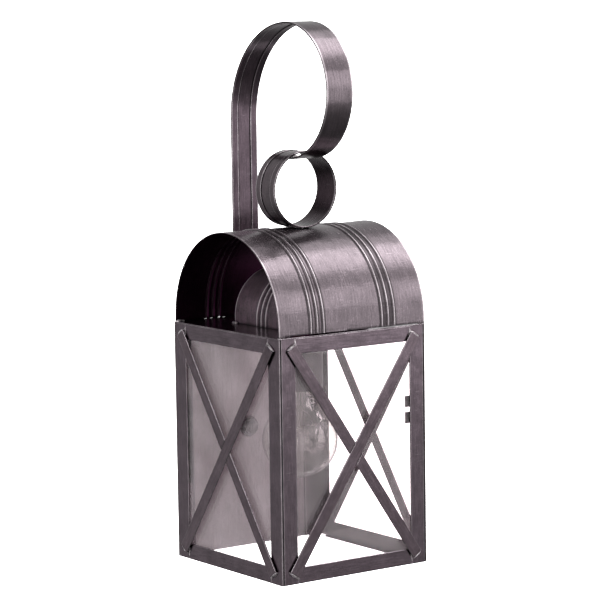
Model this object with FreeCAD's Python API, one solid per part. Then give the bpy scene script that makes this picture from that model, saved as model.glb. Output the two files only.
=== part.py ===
import FreeCAD, Part
import math
import os

# Wall lantern in sheet brass: a square glazed box under a barrel roof, with a ring and a scroll strap on top.
# Millimetres. +X is right seen from the front, the front faces -Y, +Z is up.
# The origin is the centre of the stud hole, on the back plate's rear face, which lies on the wall at Y = 0.

# Glazed box
BODY_WIDTH = 140.0
BODY_DEPTH = 144.0
BODY_BOTTOM = -98.0
BODY_TOP = 92.0
SHEET = 0.8
FRAME_SHEET = 1.2
POST_LEG = 15.0
CORNER_GROOVE = 0.7
RAIL_HEIGHT = 12.6
RAIL_FLANGE = 6.0

# Cross bars on the three glazed faces
BAR_WIDTH = 9.5
BAR_THICKNESS = 1.3
BAR_LIFT = 0.7
FRONT_BAR_ACROSS = 59.5
SIDE_BAR_ACROSS = 61.5
BAR_END_UP = 87.3
BAR_FOOT = 12.0
CROSSING_GAP = 0.6

# Panes and what holds them
PANE_THICKNESS = 2.0
PANE_GAP = 0.2
CORNER_CLEARANCE = 1.0
CLIP_SHEET = 0.6
STRIP_LENGTH = 68.0
STRIP_REACH = 17.6
STRIP_FOOT = 8.0
TAB_HEIGHT = 9.0
TAB_HEIGHTS = (18.6, 31.4)
TAB_REACH = 17.6

# Roof barrel
ROOF_RADIUS = 71.2
ROOF_LEG = 4.8
BEAD_HEIGHT = 0.9
BEAD_WIDTH = 3.6
BEAD_PITCH = 6.0
BEAD_GROUP_OFFSET = 34.0
BEAD_THINNING = 0.3
FOOT_RELIEF = 0.7
RELIEF_MARGIN = 6.0
SLOT_WIDTH = 3.0
SLOT_HEIGHT = 1.4
SLOT_PLACES = (-41.2, -35.5, -28.4, -23.6)

# Vent baffle under the roof
BAFFLE_RADIUS = 38.0
BAFFLE_LEG = 4.7
BAFFLE_REAR = -38.5
BAFFLE_FRONT = -113.5

# Scroll strap and ring, both folded from one-inch strip
STRAP_WIDTH = 25.4
HEM_WIDTH = 6.6
HEM_SHEET = 0.7
RING_RADIUS = 30.2
RING_SINK = 0.2
SCROLL_TOP = 328.8
SCROLL_BACK_RADIUS = 77.6
SCROLL_TAIL = 221.6
SCROLL_TAIL_END = -60.0

# Lamp holder
SOCKET_RADIUS = 19.0
SOCKET_RIM = 39.5
SOCKET_SHOULDER = 76.0
SOCKET_DOME = 8.2
SOCKET_HUB_RADIUS = 9.0
SOCKET_BORE = 16.0
SOCKET_CEILING = 75.0
LINER_LOW = 45.0
LINER_MOUTH_RADIUS = 15.6
LINER_RADIUS = 13.9
LINER_WALL = 0.5
LINER_FLARE = 2.0
LINER_LIP = 3.0
CONTACT_WIDTH = 5.0
CONTACT_SHEET = 0.5
CONTACT_DROP = 1.6
CONTACT_RIVET = (-7.5, -4.5)
CONTACT_END = 3.5
NIPPLE_RADIUS = 4.8
NIPPLE_BORE = 3.3
NIPPLE_LOW = 79.0
NIPPLE_LENGTH = 21.0
LOCKNUT_ACROSS_FLATS = 15.0
LOCKNUT_HEIGHT = 3.0
VENT_HOLE_RADIUS = 5.0
VENT_CIRCLE = 26.5
VENT_COUNT = 6

# Lamp
BULB_RADIUS = 30.0
BULB_CENTRE = -1.8
NECK_RADIUS = 12.6
NECK_FLARE = 13.3
SHOULDER_ANGLE = 41.0
GLASS_WALL = 0.7
GLASS_NECK_TOP = 50.0
BASE_RADIUS = 13.1
BASE_WALL = 0.4
BASE_BOTTOM = 43.6
BASE_TOP = 66.0
BASE_SHOULDER = 3.0
BASE_HOLE_RADIUS = 6.0
BUTTON_RADIUS = 7.5
BUTTON_TOP_RADIUS = 5.0
BUTTON_HEIGHT = 4.0
TIP_RADIUS = 4.2
TIP_HEIGHT = 1.4
# Outline of the glass mount, as radius and height, from its flare in the neck down to the button on its rod
STEM_OUTLINE = ((11.7, 49.0), (11.7, 47.8), (5.0, 42.0), (3.4, 34.0), (3.2, 22.0), (1.3, 19.0), (1.3, 5.0))
STEM_BUTTON_RADIUS = 2.0
STEM_BUTTON_LOW = 2.4
STEM_BUTTON_HEIGHT = 1.2
LEAD_RADIUS = 0.35
LEAD_EYE_RADIUS = 0.7
LEAD_SEAT = (2.9, 20.6)
FILAMENT_HALF_SPAN = 13.0
FILAMENT_HEIGHT = 9.0
FILAMENT_INSET = 1.4
FILAMENT_SEGMENTS = 4
FILAMENT_NEAR = 3.2
FILAMENT_ZIGZAG = 3.0

# Wall fixing
STUD_HOLE_RADIUS = 3.5
WASHER_RADIUS = 8.3
WASHER_BORE = 3.2
WASHER_THICKNESS = 1.0
NUT_ACROSS_FLATS = 11.0
NUT_HEX_LENGTH = 3.4
NUT_DOME_RADIUS = 5.0
NUT_BARREL = 0.3
NUT_BORE = 3.0
NUT_BORE_DEPTH = 6.2
NUT_GAP = 0.1
WIRE_HOLE_HEIGHT = 76.0
WIRE_HOLE_RADIUS = 5.5
BUSHING_BORE = 4.0
BUSHING_FLANGE = 7.5
BUSHING_LENGTH = 2.2

# Worked out from the above
HALF_WIDTH = BODY_WIDTH / 2
FRONT = -BODY_DEPTH
MID_DEPTH = FRONT / 2
POST_TOP = BODY_TOP - SHEET
MID_HEIGHT = (BODY_TOP + BODY_BOTTOM) / 2
STRAP_THICKNESS = SHEET + HEM_SHEET
ROOF_AXIS_Y = -STRAP_THICKNESS - ROOF_RADIUS
ROOF_AXIS_Z = BODY_TOP + ROOF_LEG
RIDGE = ROOF_AXIS_Z + ROOF_RADIUS
RING_CENTRE_Z = RIDGE - RING_SINK + RING_RADIUS
BAFFLE_MID = (BAFFLE_REAR + BAFFLE_FRONT) / 2
LAMP_Y = MID_DEPTH


def vec(x, y, z):
    return FreeCAD.Vector(x, y, z)


def block(x0, x1, y0, y1, z0, z1):
    """A box between two corners."""
    return Part.makeBox(x1 - x0, y1 - y0, z1 - z0, vec(x0, y0, z0))


def face_of(place, start, *steps):
    """A flat face. Each step is one point for a line, or a mid point and an end point for an arc."""
    edges = []
    here = start
    for step in steps:
        if len(step) == 1:
            edges.append(Part.LineSegment(place(*here), place(*step[0])).toShape())
        else:
            edges.append(Part.Arc(place(*here), place(*step[0]), place(*step[1])).toShape())
        here = step[-1]
    return Part.Face(Part.Wire(edges))


def lines(*points):
    """Straight steps for face_of."""
    return [(point,) for point in points]


def lathe(face, y):
    """Turn a face drawn in the XZ plane about the vertical axis at depth y."""
    solid = face.revolve(vec(0, 0, 0), vec(0, 0, 1), 360)
    return solid.translated(vec(0, y, 0))


def in_xz(x, z):
    return vec(x, 0, z)


def hexagon(across_flats, length, base, direction):
    """A hexagonal prism standing on base along direction."""
    corner = across_flats / math.sqrt(3)
    points = []
    for turn in range(7):
        angle = math.radians(60 * turn)
        points.append(vec(corner * math.cos(angle), corner * math.sin(angle), 0))
    prism = Part.Face(Part.makePolygon(points)).extrude(vec(0, 0, length))
    prism.Placement = FreeCAD.Placement(base, FreeCAD.Rotation(vec(0, 0, 1), direction))
    return prism


def back_plate():
    plate = block(-HALF_WIDTH, HALF_WIDTH, -SHEET, 0, BODY_BOTTOM, POST_TOP)
    stud_hole = Part.makeCylinder(STUD_HOLE_RADIUS, 4, vec(0, -2, 0), vec(0, 1, 0))
    wire_hole = Part.makeCylinder(WIRE_HOLE_RADIUS, 4, vec(0, -2, WIRE_HOLE_HEIGHT), vec(0, 1, 0))
    return plate.cut(stud_hole).cut(wire_hole)


def post(side, front):
    """An angle post. side is -1 for left and 1 for right; the front ones have a grooved corner."""
    outer = HALF_WIDTH * side
    across = sorted((outer, outer - side * POST_LEG))
    thin = sorted((outer, outer - side * FRAME_SHEET))
    if front:
        face_leg = block(*across, FRONT, FRONT + FRAME_SHEET, BODY_BOTTOM, POST_TOP)
        side_leg = block(*thin, FRONT, FRONT + POST_LEG, BODY_BOTTOM, POST_TOP)
        groove_x = sorted((outer, outer - side * CORNER_GROOVE))
        groove = block(*groove_x, FRONT, FRONT + CORNER_GROOVE, BODY_BOTTOM, POST_TOP)
        return face_leg.fuse(side_leg).removeSplitter().cut(groove)
    face_leg = block(*across, -SHEET - FRAME_SHEET, -SHEET, BODY_BOTTOM, POST_TOP)
    side_leg = block(*thin, -SHEET - POST_LEG, -SHEET, BODY_BOTTOM, POST_TOP)
    return face_leg.fuse(side_leg).removeSplitter()


def rail(at_top):
    """A front rail: an upright strip with a flange turned inwards along its outer edge."""
    half = HALF_WIDTH - POST_LEG
    low = POST_TOP - RAIL_HEIGHT + SHEET if at_top else BODY_BOTTOM
    high = POST_TOP if at_top else BODY_BOTTOM + RAIL_HEIGHT
    flange_low = high - FRAME_SHEET if at_top else low
    upright = block(-half, half, FRONT, FRONT + FRAME_SHEET, low, high)
    flange = block(-half, half, FRONT, FRONT + RAIL_FLANGE, flange_low, flange_low + FRAME_SHEET)
    return upright.fuse(flange).removeSplitter()


def side_rail(side, at_top):
    rear = -SHEET - POST_LEG
    front = FRONT + POST_LEG
    low = POST_TOP - RAIL_HEIGHT + SHEET if at_top else BODY_BOTTOM
    high = POST_TOP if at_top else BODY_BOTTOM + RAIL_HEIGHT
    flange_low = high - FRAME_SHEET if at_top else low
    outer = HALF_WIDTH * side
    thin = sorted((outer, outer - side * FRAME_SHEET))
    wide = sorted((outer, outer - side * RAIL_FLANGE))
    upright = block(*thin, front, rear, low, high)
    flange = block(*wide, front, rear, flange_low, flange_low + FRAME_SHEET)
    return upright.fuse(flange).removeSplitter()


def cross_bars(across):
    """Three pieces of one saltire, drawn flat in XZ about the origin, standing out towards -Y.

    across is how far the bars' ends are from the middle of the face, sideways.

    The long bar runs from lower left to upper right. The other is cut into two halves that butt against it.
    Each bar is lifted off the frame and has a solder foot under its outer ends.
    """
    length = 2 * math.hypot(across, BAR_END_UP)
    tilt = math.degrees(math.atan2(BAR_END_UP, across))
    outer = -BAR_LIFT - BAR_THICKNESS
    strip = block(-length / 2, length / 2, outer, -BAR_LIFT, -BAR_WIDTH / 2, BAR_WIDTH / 2)
    for start in (-length / 2, length / 2 - BAR_FOOT):
        foot = block(start, start + BAR_FOOT, -BAR_LIFT, 0, -BAR_WIDTH / 2 + 1, BAR_WIDTH / 2 - 1)
        strip = strip.fuse(foot)
    strip = strip.removeSplitter()
    long_bar = strip.rotated(vec(0, 0, 0), vec(0, -1, 0), tilt)
    short_bar = strip.rotated(vec(0, 0, 0), vec(0, -1, 0), 180 - tilt)
    keep_clear = BAR_WIDTH / 2 + CROSSING_GAP
    clearance = block(-length, length, 2 * outer, 1, -keep_clear, keep_clear)
    halves = short_bar.cut(clearance.rotated(vec(0, 0, 0), vec(0, -1, 0), tilt)).Solids
    halves.sort(key=lambda half: half.CenterOfMass.z)
    return {"long": long_bar, "lower": halves[0], "upper": halves[1]}


def saltires():
    """The three crosses. On the side faces the long bar runs from the top front to the bottom rear."""
    pieces = {}
    for part_name, bar in cross_bars(FRONT_BAR_ACROSS).items():
        pieces["front_bar_" + part_name] = bar.translated(vec(0, FRONT, MID_HEIGHT))
    for part_name, bar in cross_bars(SIDE_BAR_ACROSS).items():
        left = bar.rotated(vec(0, 0, 0), vec(0, 0, 1), -90)
        left = left.translated(vec(-HALF_WIDTH, MID_DEPTH, MID_HEIGHT))
        pieces["left_bar_" + part_name] = left
        pieces["right_bar_" + part_name] = left.mirror(vec(0, 0, 0), vec(1, 0, 0))
    return pieces


def panes():
    low = BODY_BOTTOM + FRAME_SHEET
    high = POST_TOP - FRAME_SHEET - PANE_GAP
    outer_y = FRONT + FRAME_SHEET + PANE_GAP
    inner_y = outer_y + PANE_THICKNESS
    outer_x = HALF_WIDTH - FRAME_SHEET - PANE_GAP
    inner_x = outer_x - PANE_THICKNESS
    front_half = inner_x - CORNER_CLEARANCE
    side_front = inner_y + CLIP_SHEET + CORNER_CLEARANCE
    side_rear = -SHEET - FRAME_SHEET - PANE_GAP
    left = block(-outer_x, -inner_x, side_front, side_rear, low, high)
    return {
        "pane_front": block(-front_half, front_half, outer_y, inner_y, low, high),
        "pane_left": left,
        "pane_right": left.mirror(vec(0, 0, 0), vec(1, 0, 0)),
    }


def pane_holders():
    """Angle strips at the back corners and pairs of short tabs at the front corners, all behind the glass."""
    pane_x = HALF_WIDTH - FRAME_SHEET - PANE_GAP - PANE_THICKNESS
    strip_y = -SHEET - FRAME_SHEET
    low = MID_HEIGHT - STRIP_LENGTH / 2
    high = MID_HEIGHT + STRIP_LENGTH / 2
    strip_leg = block(-pane_x, -pane_x + CLIP_SHEET, -STRIP_REACH, strip_y, low, high)
    strip_foot = block(-pane_x, -pane_x + STRIP_FOOT, strip_y - CLIP_SHEET, strip_y, low, high)
    strip = strip_leg.fuse(strip_foot).removeSplitter()
    tab_y = FRONT + FRAME_SHEET + PANE_GAP + PANE_THICKNESS
    tab_left = -HALF_WIDTH + FRAME_SHEET
    tab_right = -HALF_WIDTH + TAB_REACH
    tabs = []
    for middle in TAB_HEIGHTS:
        low = middle - TAB_HEIGHT / 2
        high = middle + TAB_HEIGHT / 2
        tabs.append(block(tab_left, tab_right, tab_y, tab_y + CLIP_SHEET, low, high))
    pair = Part.makeCompound(tabs)
    mirror_plane = (vec(0, 0, 0), vec(1, 0, 0))
    return {
        "pane_strip_left": strip,
        "pane_strip_right": strip.mirror(*mirror_plane),
        "pane_tabs_left": pair,
        "pane_tabs_right": pair.mirror(*mirror_plane),
    }


def top_plate():
    plate = block(-HALF_WIDTH, HALF_WIDTH, FRONT, 0, POST_TOP, BODY_TOP)
    plate = plate.cut(Part.makeCylinder(NIPPLE_RADIUS, 4, vec(0, LAMP_Y, POST_TOP - 2)))
    for number in range(VENT_COUNT):
        angle = 2 * math.pi * number / VENT_COUNT
        centre = vec(VENT_CIRCLE * math.cos(angle), LAMP_Y + VENT_CIRCLE * math.sin(angle), POST_TOP - 2)
        plate = plate.cut(Part.makeCylinder(VENT_HOLE_RADIUS, 4, centre))
    return plate


def in_xy(x, y):
    return vec(x, y, 0)


def beaded_drum(half_length, radius, leg, groups, bead_half):
    """A solid half drum about the X axis on straight legs, with groups of three raised beads round it."""
    steps = []
    for group in groups:
        for number in (-1, 0, 1):
            middle = group + number * BEAD_PITCH
            steps.append(((middle - bead_half, radius),))
            steps.append(((middle, radius + BEAD_HEIGHT), (middle + bead_half, radius)))
    steps.extend(lines((half_length, radius), (half_length, 0), (-half_length, 0), (-half_length, radius)))
    profile = face_of(in_xy, (-half_length, radius), *steps)
    drum = profile.revolve(vec(0, 0, 0), vec(1, 0, 0), 180)
    rear_leg = profile.extrude(vec(0, 0, -leg))
    front_leg = rear_leg.rotated(vec(0, 0, 0), vec(0, 0, 1), 180)
    return drum.fuse([rear_leg, front_leg]).removeSplitter()


def beaded_arch(half_length, radius, leg, groups):
    """A thin beaded arch about the X axis, standing with its feet at Z = 0."""
    bead_half = BEAD_WIDTH / 2
    outside = beaded_drum(half_length, radius, leg, groups, bead_half)
    inside = beaded_drum(half_length + 1, radius - SHEET, leg + 1, groups, bead_half - BEAD_THINNING)
    return outside.cut(inside).translated(vec(0, 0, leg))


def roof_barrel():
    groups = (-BEAD_GROUP_OFFSET, BEAD_GROUP_OFFSET)
    roof = beaded_arch(HALF_WIDTH, ROOF_RADIUS, ROOF_LEG, groups)
    roof = roof.translated(vec(0, ROOF_AXIS_Y, BODY_TOP))
    half = HALF_WIDTH - RELIEF_MARGIN
    roof = roof.cut(block(-half, half, FRONT - 2, MID_DEPTH, BODY_TOP, BODY_TOP + FOOT_RELIEF))
    half = SLOT_WIDTH / 2
    for x in SLOT_PLACES:
        roof = roof.cut(block(x - half, x + half, MID_DEPTH, 2, BODY_TOP, BODY_TOP + SLOT_HEIGHT))
    return roof


def vent_baffle():
    half_length = (BAFFLE_REAR - BAFFLE_FRONT) / 2
    arch = beaded_arch(half_length, BAFFLE_RADIUS, BAFFLE_LEG, (0,))
    return arch.rotated(vec(0, 0, 0), vec(0, 0, 1), 90).translated(vec(0, BAFFLE_MID, BODY_TOP))


def scroll_line(depth):
    """Points of the strap's path in Y and Z, moved in from its outer face by depth."""
    big = SCROLL_BACK_RADIUS - depth
    small = (SCROLL_TOP - SCROLL_TAIL) / 2 - depth
    centre_y = -SCROLL_BACK_RADIUS
    big_z = SCROLL_TOP - SCROLL_BACK_RADIUS
    small_z = (SCROLL_TOP + SCROLL_TAIL) / 2
    slant = math.sqrt(0.5)
    return {
        "foot": (-depth, BODY_TOP),
        "shoulder": (-depth, big_z),
        "big_mid": (centre_y + big * slant, big_z + big * slant),
        "crown": (centre_y, SCROLL_TOP - depth),
        "nose": (centre_y - small, small_z),
        "belly": (centre_y, SCROLL_TAIL + depth),
        "tail": (SCROLL_TAIL_END, SCROLL_TAIL + depth),
    }


def scroll_layer(inset, thickness, x0, x1):
    """One layer of the strap: up the wall, over the top, round the front and back to the ring."""
    out = scroll_line(inset)
    back = scroll_line(inset + thickness)
    steps = [
        (out["shoulder"],),
        (out["big_mid"], out["crown"]),
        (out["nose"], out["belly"]),
        (out["tail"],),
        (back["tail"],),
        (back["belly"],),
        (back["nose"], back["crown"]),
        (back["big_mid"], back["shoulder"]),
        (back["foot"],),
        (out["foot"],),
    ]
    face = face_of(lambda y, z: vec(x0, y, z), out["foot"], *steps)
    return face.extrude(vec(x1 - x0, 0, 0))


def scroll_strap():
    half = STRAP_WIDTH / 2
    strap = scroll_layer(0, SHEET, -half, half)
    hems = [
        scroll_layer(SHEET, HEM_SHEET, -half, -half + HEM_WIDTH),
        scroll_layer(SHEET, HEM_SHEET, half - HEM_WIDTH, half),
    ]
    return strap.fuse(hems).removeSplitter()


def hanging_ring():
    """A band with its axis along Y and its two edges folded back onto its outer face."""
    half = STRAP_WIDTH / 2
    inner = RING_RADIUS - STRAP_THICKNESS
    groove = RING_RADIUS - HEM_SHEET
    points = lines(
        (RING_RADIUS, -half),
        (RING_RADIUS, -half + HEM_WIDTH),
        (groove, -half + HEM_WIDTH),
        (groove, half - HEM_WIDTH),
        (RING_RADIUS, half - HEM_WIDTH),
        (RING_RADIUS, half),
        (inner, half),
        (inner, -half),
    )
    section = face_of(in_xz, (inner, -half), *points)
    ring = section.revolve(vec(0, 0, 0), vec(0, 0, 1), 360)
    ring = ring.rotated(vec(0, 0, 0), vec(1, 0, 0), 90)
    return ring.translated(vec(0, MID_DEPTH, RING_CENTRE_Z))


def socket_body():
    """A keyless holder: a plain skirt, a domed shoulder and a hub on the threaded tube."""
    hub_top = POST_TOP - LOCKNUT_HEIGHT
    dome_run = SOCKET_RADIUS - SOCKET_HUB_RADIUS
    slant = math.sqrt(0.5)
    dome_mid = (SOCKET_HUB_RADIUS + dome_run * slant, SOCKET_SHOULDER + SOCKET_DOME * slant)
    steps = [
        ((SOCKET_RADIUS, SOCKET_RIM),),
        ((SOCKET_RADIUS, SOCKET_SHOULDER),),
        (dome_mid, (SOCKET_HUB_RADIUS, SOCKET_SHOULDER + SOCKET_DOME)),
        ((SOCKET_HUB_RADIUS, hub_top),),
        ((NIPPLE_RADIUS, hub_top),),
        ((NIPPLE_RADIUS, NIPPLE_LOW),),
        ((NIPPLE_BORE, NIPPLE_LOW),),
        ((NIPPLE_BORE, SOCKET_CEILING),),
        ((SOCKET_BORE, SOCKET_CEILING),),
        ((SOCKET_BORE, SOCKET_RIM),),
    ]
    return lathe(face_of(in_xz, (SOCKET_BORE, SOCKET_RIM), *steps), LAMP_Y)


def socket_shell():
    """The holder's brass liner, with a wide mouth and an inturned top edge under the ceiling."""
    mouth = LINER_LOW + LINER_FLARE
    start = (LINER_MOUTH_RADIUS - LINER_WALL, LINER_LOW)
    points = lines(
        (LINER_MOUTH_RADIUS, LINER_LOW),
        (LINER_MOUTH_RADIUS, mouth),
        (LINER_RADIUS + LINER_WALL, mouth + LINER_FLARE),
        (LINER_RADIUS + LINER_WALL, SOCKET_CEILING),
        (LINER_RADIUS - LINER_LIP, SOCKET_CEILING),
        (LINER_RADIUS - LINER_LIP, SOCKET_CEILING - LINER_WALL),
        (LINER_RADIUS, SOCKET_CEILING - LINER_WALL),
        (LINER_RADIUS, mouth + LINER_FLARE),
        (start[0], mouth),
        start,
    )
    return lathe(face_of(in_xz, start, *points), LAMP_Y)


def socket_contact():
    """A sprung brass tongue under the ceiling that presses on the lamp's tip."""
    half = CONTACT_WIDTH / 2
    low = SOCKET_CEILING - CONTACT_DROP
    rivet_start, rivet_end = CONTACT_RIVET
    rivet = block(rivet_start, rivet_end, -half, half, low, SOCKET_CEILING)
    tongue = block(rivet_end, CONTACT_END, -half, half, low, low + CONTACT_SHEET)
    return rivet.fuse(tongue).removeSplitter().translated(vec(0, LAMP_Y, 0))


def lamp_nipple():
    tube = Part.makeCylinder(NIPPLE_RADIUS, NIPPLE_LENGTH, vec(0, LAMP_Y, NIPPLE_LOW))
    return tube.cut(Part.makeCylinder(NIPPLE_BORE, NIPPLE_LENGTH + 4, vec(0, LAMP_Y, NIPPLE_LOW - 2)))


def lamp_locknuts():
    """One nut each side of the top plate."""
    nuts = []
    for low in (POST_TOP - LOCKNUT_HEIGHT, BODY_TOP):
        nut = hexagon(LOCKNUT_ACROSS_FLATS, LOCKNUT_HEIGHT, vec(0, LAMP_Y, low), vec(0, 0, 1))
        bore = Part.makeCylinder(NIPPLE_RADIUS, LOCKNUT_HEIGHT + 2, vec(0, LAMP_Y, low - 1))
        nuts.append(nut.cut(bore))
    return Part.makeCompound(nuts)


def bulb_line(inset):
    """Points of the lamp's outline, moved in by inset: bottom, shoulder and neck."""
    angle = math.radians(SHOULDER_ANGLE)
    radius = BULB_RADIUS - inset
    sweep = (BULB_RADIUS * math.cos(angle) - NECK_FLARE) / (1 - math.cos(angle)) + inset
    centre_r = NECK_FLARE + sweep - inset
    centre_z = BULB_CENTRE + (BULB_RADIUS + sweep - inset) * math.sin(angle)
    half = angle / 2
    low_angle = (angle - math.pi / 2) / 2
    return {
        "bottom": (0, BULB_CENTRE - radius),
        "belly": (radius * math.cos(low_angle), BULB_CENTRE + radius * math.sin(low_angle)),
        "shoulder": (radius * math.cos(angle), BULB_CENTRE + radius * math.sin(angle)),
        "throat_mid": (centre_r - sweep * math.cos(half), centre_z - sweep * math.sin(half)),
        "throat": (centre_r - sweep, centre_z),
    }


def bulb_glass():
    """A thin shell with an open neck, which the base is cemented to."""
    outer = bulb_line(0)
    inner = bulb_line(GLASS_WALL)
    neck_low = BASE_BOTTOM + BASE_WALL
    neck_inner = NECK_RADIUS - GLASS_WALL
    steps = [
        (outer["belly"], outer["shoulder"]),
        (outer["throat_mid"], outer["throat"]),
        ((NECK_RADIUS, neck_low),),
        ((NECK_RADIUS, GLASS_NECK_TOP),),
        ((neck_inner, GLASS_NECK_TOP),),
        ((neck_inner, neck_low),),
        (inner["throat"],),
        (inner["throat_mid"], inner["shoulder"]),
        (inner["belly"], inner["bottom"]),
        (outer["bottom"],),
    ]
    return lathe(face_of(in_xz, outer["bottom"], *steps), LAMP_Y)


def bulb_base():
    """The screw cap, drawn without its thread: a thin can with a turned-in top."""
    inner = BASE_RADIUS - BASE_WALL
    low = BASE_BOTTOM + 2 * BASE_WALL
    rim = BASE_HOLE_RADIUS + BASE_WALL * 5
    points = lines(
        (BASE_RADIUS, low),
        (BASE_RADIUS, BASE_TOP - BASE_SHOULDER),
        (rim, BASE_TOP),
        (BASE_HOLE_RADIUS, BASE_TOP),
        (BASE_HOLE_RADIUS, BASE_TOP - BASE_WALL),
        (rim, BASE_TOP - BASE_WALL),
        (inner, BASE_TOP - BASE_SHOULDER - BASE_WALL),
        (inner, low),
    )
    return lathe(face_of(in_xz, (inner, low), *points), LAMP_Y)


def bulb_insulator():
    """The black glass button at the top of the cap."""
    high = BASE_TOP + BUTTON_HEIGHT
    points = lines((BUTTON_RADIUS, BASE_TOP), (BUTTON_TOP_RADIUS, high), (0, high), (0, BASE_TOP))
    return lathe(face_of(in_xz, (0, BASE_TOP), *points), LAMP_Y)


def bulb_tip():
    """The solder contact on the button."""
    return Part.makeCylinder(TIP_RADIUS, TIP_HEIGHT, vec(0, LAMP_Y, BASE_TOP + BUTTON_HEIGHT))


def bulb_stem():
    """The glass mount: a flare in the neck and a rod that carries the filament supports."""
    start = (0, STEM_OUTLINE[0][1])
    button = (STEM_BUTTON_RADIUS, STEM_BUTTON_LOW + STEM_BUTTON_HEIGHT)
    points = lines(*STEM_OUTLINE, button, (0, STEM_BUTTON_LOW), start)
    return lathe(face_of(in_xz, start, *points), LAMP_Y)


def rod_between(start, end, radius):
    path = end.sub(start)
    return Part.makeCylinder(radius, path.Length, start, path)


def bulb_filament():
    """Two lead wires that leave the stem, and the wire strung between them in a shallow zigzag."""
    seat_x, seat_z = LEAD_SEAT
    solids = []
    for side in (-1, 1):
        seat = vec(side * seat_x, LAMP_Y, seat_z)
        eye = vec(side * FILAMENT_HALF_SPAN, LAMP_Y, FILAMENT_HEIGHT)
        lead = rod_between(seat, eye, LEAD_RADIUS)
        solids.append(lead.fuse(Part.makeSphere(LEAD_EYE_RADIUS, eye)).removeSplitter())
    first = -FILAMENT_HALF_SPAN + FILAMENT_INSET
    pitch = -2 * first / FILAMENT_SEGMENTS
    corners = []
    for number in range(FILAMENT_SEGMENTS + 1):
        y = LAMP_Y - FILAMENT_NEAR - (number % 2) * FILAMENT_ZIGZAG
        corners.append(vec(first + number * pitch, y, FILAMENT_HEIGHT))
    zigzag = Part.makeSphere(LEAD_RADIUS, corners[0])
    for start, end in zip(corners, corners[1:]):
        rod = rod_between(start, end, LEAD_RADIUS)
        zigzag = zigzag.fuse(rod).fuse(Part.makeSphere(LEAD_RADIUS, end))
    solids.append(zigzag.removeSplitter())
    return Part.makeCompound(solids)


def nut_washer():
    washer = Part.makeCylinder(WASHER_RADIUS, WASHER_THICKNESS, vec(0, -SHEET, 0), vec(0, -1, 0))
    return washer.cut(Part.makeCylinder(WASHER_BORE, 6, vec(0, 2, 0), vec(0, -1, 0)))


def cap_nut():
    """An acorn nut with its mouth towards the wall: a hexagon, a short barrel and a half-round crown."""
    seat = -SHEET - WASHER_THICKNESS - NUT_GAP
    barrel = NUT_HEX_LENGTH + NUT_BARREL
    slant = NUT_DOME_RADIUS * math.sqrt(0.5)
    steps = [
        ((NUT_DOME_RADIUS, 0),),
        ((NUT_DOME_RADIUS, barrel),),
        ((slant, barrel + slant), (0, barrel + NUT_DOME_RADIUS)),
        ((0, NUT_BORE_DEPTH),),
        ((NUT_BORE, NUT_BORE_DEPTH),),
        ((NUT_BORE, 0),),
    ]
    crown = face_of(in_xz, (NUT_BORE, 0), *steps).revolve(vec(0, 0, 0), vec(0, 0, 1), 360)
    skirt = hexagon(NUT_ACROSS_FLATS, NUT_HEX_LENGTH, vec(0, 0, 0), vec(0, 0, 1))
    skirt = skirt.cut(Part.makeCylinder(NUT_BORE, 2 * NUT_HEX_LENGTH, vec(0, 0, -1)))
    nut = crown.fuse(skirt).removeSplitter()
    return nut.rotated(vec(0, 0, 0), vec(1, 0, 0), 90).translated(vec(0, seat, 0))


def wire_bushing():
    """A rubber grommet from the inside, flush with the wall side of the plate."""
    neck = Part.makeCylinder(WIRE_HOLE_RADIUS, SHEET, vec(0, -SHEET, WIRE_HOLE_HEIGHT), vec(0, 1, 0))
    flange = Part.makeCylinder(BUSHING_FLANGE, BUSHING_LENGTH, vec(0, -SHEET, WIRE_HOLE_HEIGHT), vec(0, -1, 0))
    bore = Part.makeCylinder(BUSHING_BORE, 10, vec(0, -6, WIRE_HOLE_HEIGHT), vec(0, 1, 0))
    return neck.fuse(flange).removeSplitter().cut(bore)


def all_nodes():
    nodes = {"back_plate": back_plate(), "top_plate": top_plate()}
    for side, side_name in ((-1, "left"), (1, "right")):
        nodes["post_front_" + side_name] = post(side, True)
        nodes["post_rear_" + side_name] = post(side, False)
        nodes["rail_top_" + side_name] = side_rail(side, True)
        nodes["rail_bottom_" + side_name] = side_rail(side, False)
    nodes["rail_top_front"] = rail(True)
    nodes["rail_bottom_front"] = rail(False)
    nodes.update(saltires())
    nodes.update(panes())
    nodes.update(pane_holders())
    nodes["roof_barrel"] = roof_barrel()
    nodes["vent_baffle"] = vent_baffle()
    nodes["scroll_strap"] = scroll_strap()
    nodes["hanging_ring"] = hanging_ring()
    nodes["socket_body"] = socket_body()
    nodes["socket_shell"] = socket_shell()
    nodes["socket_contact"] = socket_contact()
    nodes["lamp_nipple"] = lamp_nipple()
    nodes["lamp_locknuts"] = lamp_locknuts()
    nodes["bulb_glass"] = bulb_glass()
    nodes["bulb_base"] = bulb_base()
    nodes["bulb_insulator"] = bulb_insulator()
    nodes["bulb_tip"] = bulb_tip()
    nodes["bulb_stem"] = bulb_stem()
    nodes["bulb_filament"] = bulb_filament()
    nodes["nut_washer"] = nut_washer()
    nodes["cap_nut"] = cap_nut()
    nodes["wire_bushing"] = wire_bushing()
    return nodes


def main():
    os.makedirs("parts", exist_ok=True)
    for name, shape in all_nodes().items():
        sound = shape.isValid() and all(solid.isClosed() for solid in shape.Solids)
        print(name, len(shape.Solids), round(shape.Volume, 1), "sound" if sound else "NOT SOUND")
        shape.exportStep("parts/" + name + ".step")


main()
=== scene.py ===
import math

import bmesh
import bpy
from mathutils import Matrix, Vector, noise


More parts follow.
